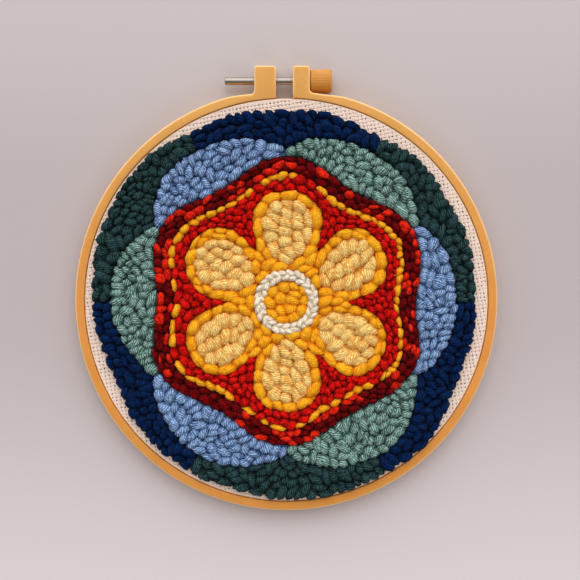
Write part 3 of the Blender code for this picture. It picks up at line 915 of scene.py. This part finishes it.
steelLook = {
    "drawnGrain": 900,
    "tones": (rgb(168, 156, 148), rgb(196, 188, 182)),
    "rough": (0.10, 0.10),
    "bumps": 0.006 * mm,
}


def steelFinish():
    look = steelLook
    finish = Finish("screwSteel", metallic=1.0)
    drawn = finish.grain(finish.place(), look["drawnGrain"], 3.0, 0.7)
    finish.use("Base Color", finish.mix(drawn, *look["tones"]))
    finish.use("Roughness", toned(look["rough"], drawn).clamped())
    finish.use("Normal", finish.bump(drawn, look["bumps"]))
    return finish


plastic = plasticFinish("hoopPlastic", 0.0, 0.6, 0.0)
knobPlastic = plasticFinish("knobPlastic", 0.7, 0.0, 0.6)
steel = steelFinish()
ringLook = {
    "sharpFrom": math.radians(28),
    "edgeRound": 0.32 * mm,
    "roundSteps": 3,
    "chamfer": 0.95 * mm,
    "innerShare": 0.22,  # the chamfer beside the cloth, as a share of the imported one
}


def smoothRing(node, name):
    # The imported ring's own shape, its edges rounded over and the one beside the cloth fine
    look = ringLook
    bm = bmesh.new()
    bm.from_mesh(bpy.data.objects[node].data)
    bmesh.ops.remove_doubles(bm, verts=bm.verts, dist=sameSpot)
    bmesh.ops.recalc_face_normals(bm, faces=bm.faces)
    top = max(vert.co.z for vert in bm.verts)
    inside = min((vert.co.xy - centre.xy).length for vert in bm.verts)
    for vert in bm.verts:
        flat = vert.co.xy - centre.xy
        away, down = flat.length - inside, top - vert.co.z
        if away < look["chamfer"] and down < look["chamfer"]:
            flat = flat.normalized() * (inside + away * look["innerShare"])
            vert.co = (*(centre.xy + flat), top - down * look["innerShare"])
    sharp = [edge for edge in bm.edges if edge.calc_face_angle(0) > look["sharpFrom"]]
    bmesh.ops.bevel(
        bm,
        geom=sharp,
        offset=look["edgeRound"],
        segments=look["roundSteps"],
        profile=0.5,
        affect="EDGES",
        clamp_overlap=True,
        material=-1,
    )
    for edge in bm.edges:
        edge.smooth = edge.calc_face_angle(0) < look["sharpFrom"]
    newPiece(name, bm, plastic, [node])


smoothRing("outer_hoop", "outerRing")
smoothRing("inner_hoop", "innerRing")


# Knob: fine ridges along its whole length, rounded over at both ends
knobLow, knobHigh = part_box("knob")
knobLook = {
    "ridges": 46,
    "stepsEach": 4,
    "ridgeDepth": 0.28 * mm,
    "ridgesFrom": 0.75,  # of the way out
    "ridgesOver": 0.12,
    "across": (knobHigh.z - knobLow.z) / 2,
    "endRound": 0.9 * mm,
    "roundSteps": 4,
    "dish": 0.5 * mm,
    "dishWide": 0.55,
    "rimWide": 0.66,
    "sameSpot": 1e-7,
}


def makeKnob():
    look = knobLook
    middle = (knobLow + knobHigh) / 2
    radius, turn = look["across"], look["endRound"]
    profile = [(0.0, look["dish"]), (radius * look["dishWide"], look["dish"])]
    profile.append((radius * look["rimWide"], 0.0))
    for step in range(look["roundSteps"] + 1):
        angle = math.pi / 2 * step / look["roundSteps"]
        profile.append((radius - turn * (1 - math.sin(angle)), turn * (1 - math.cos(angle))))
    length = knobHigh.x - knobLow.x
    half = [(away, length / 2 - depth) for away, depth in profile]
    whole = half + [(away, -place) for away, place in reversed(half)]
    bm = bmesh.new()
    spots = [bm.verts.new((middle.x + place, middle.y, middle.z + away)) for away, place in whole]
    lines = [bm.edges.new(pair) for pair in zip(spots, spots[1:])]
    bmesh.ops.spin(
        bm,
        geom=spots + lines,
        cent=middle,
        axis=(1, 0, 0),
        angle=2 * math.pi,
        steps=look["ridges"] * look["stepsEach"],
        use_merge=True,
    )
    bmesh.ops.remove_doubles(bm, verts=bm.verts, dist=look["sameSpot"])
    for vert in bm.verts:
        out = Vector((0, vert.co.y - middle.y, vert.co.z - middle.z))
        past = out.length - radius * look["ridgesFrom"]
        if past > 0:
            wave = math.cos(math.atan2(out.z, out.y) * look["ridges"])
            share = min(1.0, past / (radius * look["ridgesOver"]))
            vert.co -= out.normalized() * look["ridgeDepth"] * share * (1 - wave) / 2
    bmesh.ops.recalc_face_normals(bm, faces=bm.faces)
    newPiece("knobRidged", bm, knobPlastic, ["knob"])


makeKnob()


# Screw: a fine thread on a plain rod, its end a little domed
screwLow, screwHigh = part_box("screw")
screwLook = {
    "radius": (screwHigh.z - screwLow.z) / 2,
    "pitch": 0.7 * mm,
    "depth": 0.07 * mm,
    "turnRows": 6,
    "steps": 24,
    "endRound": 0.5 * mm,
}


def makeScrew():
    look = screwLook
    middle = (screwLow + screwHigh) / 2
    radius = look["radius"]
    length = screwHigh.x - screwLow.x - 2 * look["endRound"]
    rows = round(length / look["pitch"] * look["turnRows"])
    bm = bmesh.new()
    bmesh.ops.create_circle(bm, cap_ends=False, segments=look["steps"], radius=radius)
    ring = bm.edges[:]
    for row in range(rows + 1):
        if row:
            made = bmesh.ops.extrude_edge_only(bm, edges=ring)
            fresh = [item for item in made["geom"] if isinstance(item, bmesh.types.BMVert)]
            ring = [item for item in made["geom"] if isinstance(item, bmesh.types.BMEdge)]
            ring = [edge for edge in ring if all(vert in fresh for vert in edge.verts)]
            bmesh.ops.translate(bm, verts=fresh, vec=(0, 0, look["pitch"] / look["turnRows"]))
    for vert in bm.verts:
        way = math.atan2(vert.co.y, vert.co.x) / (2 * math.pi)
        phase = (vert.co.z / look["pitch"] - way) % 1
        groove = look["depth"] * abs(phase - 0.5) * 2
        vert.co.xy = vert.co.xy.normalized() * (radius - groove)
    ends = [edge for edge in bm.edges if edge.is_boundary]
    caps = bmesh.ops.edgenet_fill(bm, edges=ends)["faces"]
    for cap in caps:
        out = -1 if cap.calc_center_median().z < look["pitch"] else 1
        bmesh.ops.inset_region(
            bm, faces=[cap], thickness=look["endRound"], use_even_offset=True
        )
        bmesh.ops.translate(bm, verts=cap.verts, vec=(0, 0, out * look["endRound"]))
    bmesh.ops.recalc_face_normals(bm, faces=bm.faces)
    turnOver = Matrix.Rotation(math.pi / 2, 4, "Y")
    start = Vector((screwLow.x + look["endRound"], middle.y, middle.z))
    bmesh.ops.transform(bm, matrix=Matrix.Translation(start) @ turnOver, verts=bm.verts)
    newPiece("screwThreaded", bm, steel, ["screw"])


makeScrew()
print("hoop finished")


# Surface and light
light = {
    "floor": 8.0,
    # Painted shade: the floor is painted darkest across the hoop's middle, a little lighter towards
    # the screw's side and lightest on the other side
    "floorNear": rgb(205, 198, 199),
    "floorShadeMid": rgb(181, 172, 173),
    "floorShadeFar": rgb(196, 188, 188),  # towards the screw's side
    "midTurns": (-0.17, 0.0),  # where the floor changes from near to mid
    "farTurns": (0.04, 0.16),
    "paperGrain": 900,
    "paper": (rgb(255, 250, 248), 0.05),  # a colour and how much of it shows
    "floorDrop": 0.05 * mm,
    "skyColour": (1.0, 0.98, 0.975, 1.0),
    "lampColour": (1.0, 0.975, 0.955),
    "skyHigh": 1.72,  # towards the screw's side
    "skyLow": 0.15,
    "skyTurns": (-0.35, 0.75),  # where it starts and ends to brighten
    "sun": 0.95,
    "sunSoft": math.radians(50),
    "sunFrom": Vector((0.10, 0.85, 1.05)),
    "fill": 4.6,
    "fillSize": 1.0,
    "fillAt": Vector((0.1, -1.1, 0.9)),
}


def makeFloor():
    bm = bmesh.new()
    bmesh.ops.create_grid(bm, x_segments=1, y_segments=1, size=light["floor"])
    finish = Finish("floor", roughness=0.9, Specular_IOR_Level=0.2)
    place = finish.place()
    y = finish.parts(place)[1]
    paper = finish.grain(place, light["paperGrain"], 2.0, 0.5)
    paperTone, paperShare = light["paper"]
    # Painted shade across the floor, by place along y
    colour = finish.mix(y.step(*light["midTurns"]), light["floorNear"], light["floorShadeMid"])
    colour = finish.mix(y.step(*light["farTurns"]), colour, light["floorShadeFar"])
    finish.use("Base Color", finish.mix(paperShare * paper, colour, paperTone))
    mesh = bpy.data.meshes.new("floor")
    bm.to_mesh(mesh)
    bm.free()
    mesh.materials.append(finish.material)
    floor = bpy.data.objects.new("floor", mesh)
    floor.location = (0, 0, -light["floorDrop"])
    bpy.context.scene.collection.objects.link(floor)


def addLamp(name, kind, power, spot):
    lamp = bpy.data.lights.new(name, kind)
    lamp.energy = power
    lamp.color = light["lampColour"]
    holder = bpy.data.objects.new(name, lamp)
    holder.location = spot
    holder.rotation_euler = (-spot).to_track_quat("-Z", "Y").to_euler()
    holder.visible_glossy = False  # the plastic and the steel mirror the sky alone
    bpy.context.scene.collection.objects.link(holder)
    return lamp


def makeLight():
    world = bpy.data.worlds.new("studio")
    world.use_nodes = True
    nodes, links = world.node_tree.nodes, world.node_tree.links
    background = nodes["Background"]
    background.inputs["Color"].default_value = light["skyColour"]
    direction = nodes.new("ShaderNodeTexCoord")
    parts = nodes.new("ShaderNodeSeparateXYZ")
    spread = nodes.new("ShaderNodeMapRange")
    spread.inputs["From Min"].default_value = light["skyTurns"][0]
    spread.inputs["From Max"].default_value = light["skyTurns"][1]
    spread.inputs["To Min"].default_value = light["skyLow"]
    spread.inputs["To Max"].default_value = light["skyHigh"]
    links.new(direction.outputs["Generated"], parts.inputs["Vector"])
    links.new(parts.outputs["Y"], spread.inputs["Value"])
    links.new(spread.outputs["Result"], background.inputs["Strength"])
    bpy.context.scene.world = world
    addLamp("sun", "SUN", light["sun"], light["sunFrom"]).angle = light["sunSoft"]
    addLamp("fill", "AREA", light["fill"], light["fillAt"]).size = light["fillSize"]


makeFloor()
makeLight()
bpy.context.scene.view_settings.view_transform = "Standard"
print("stage made")
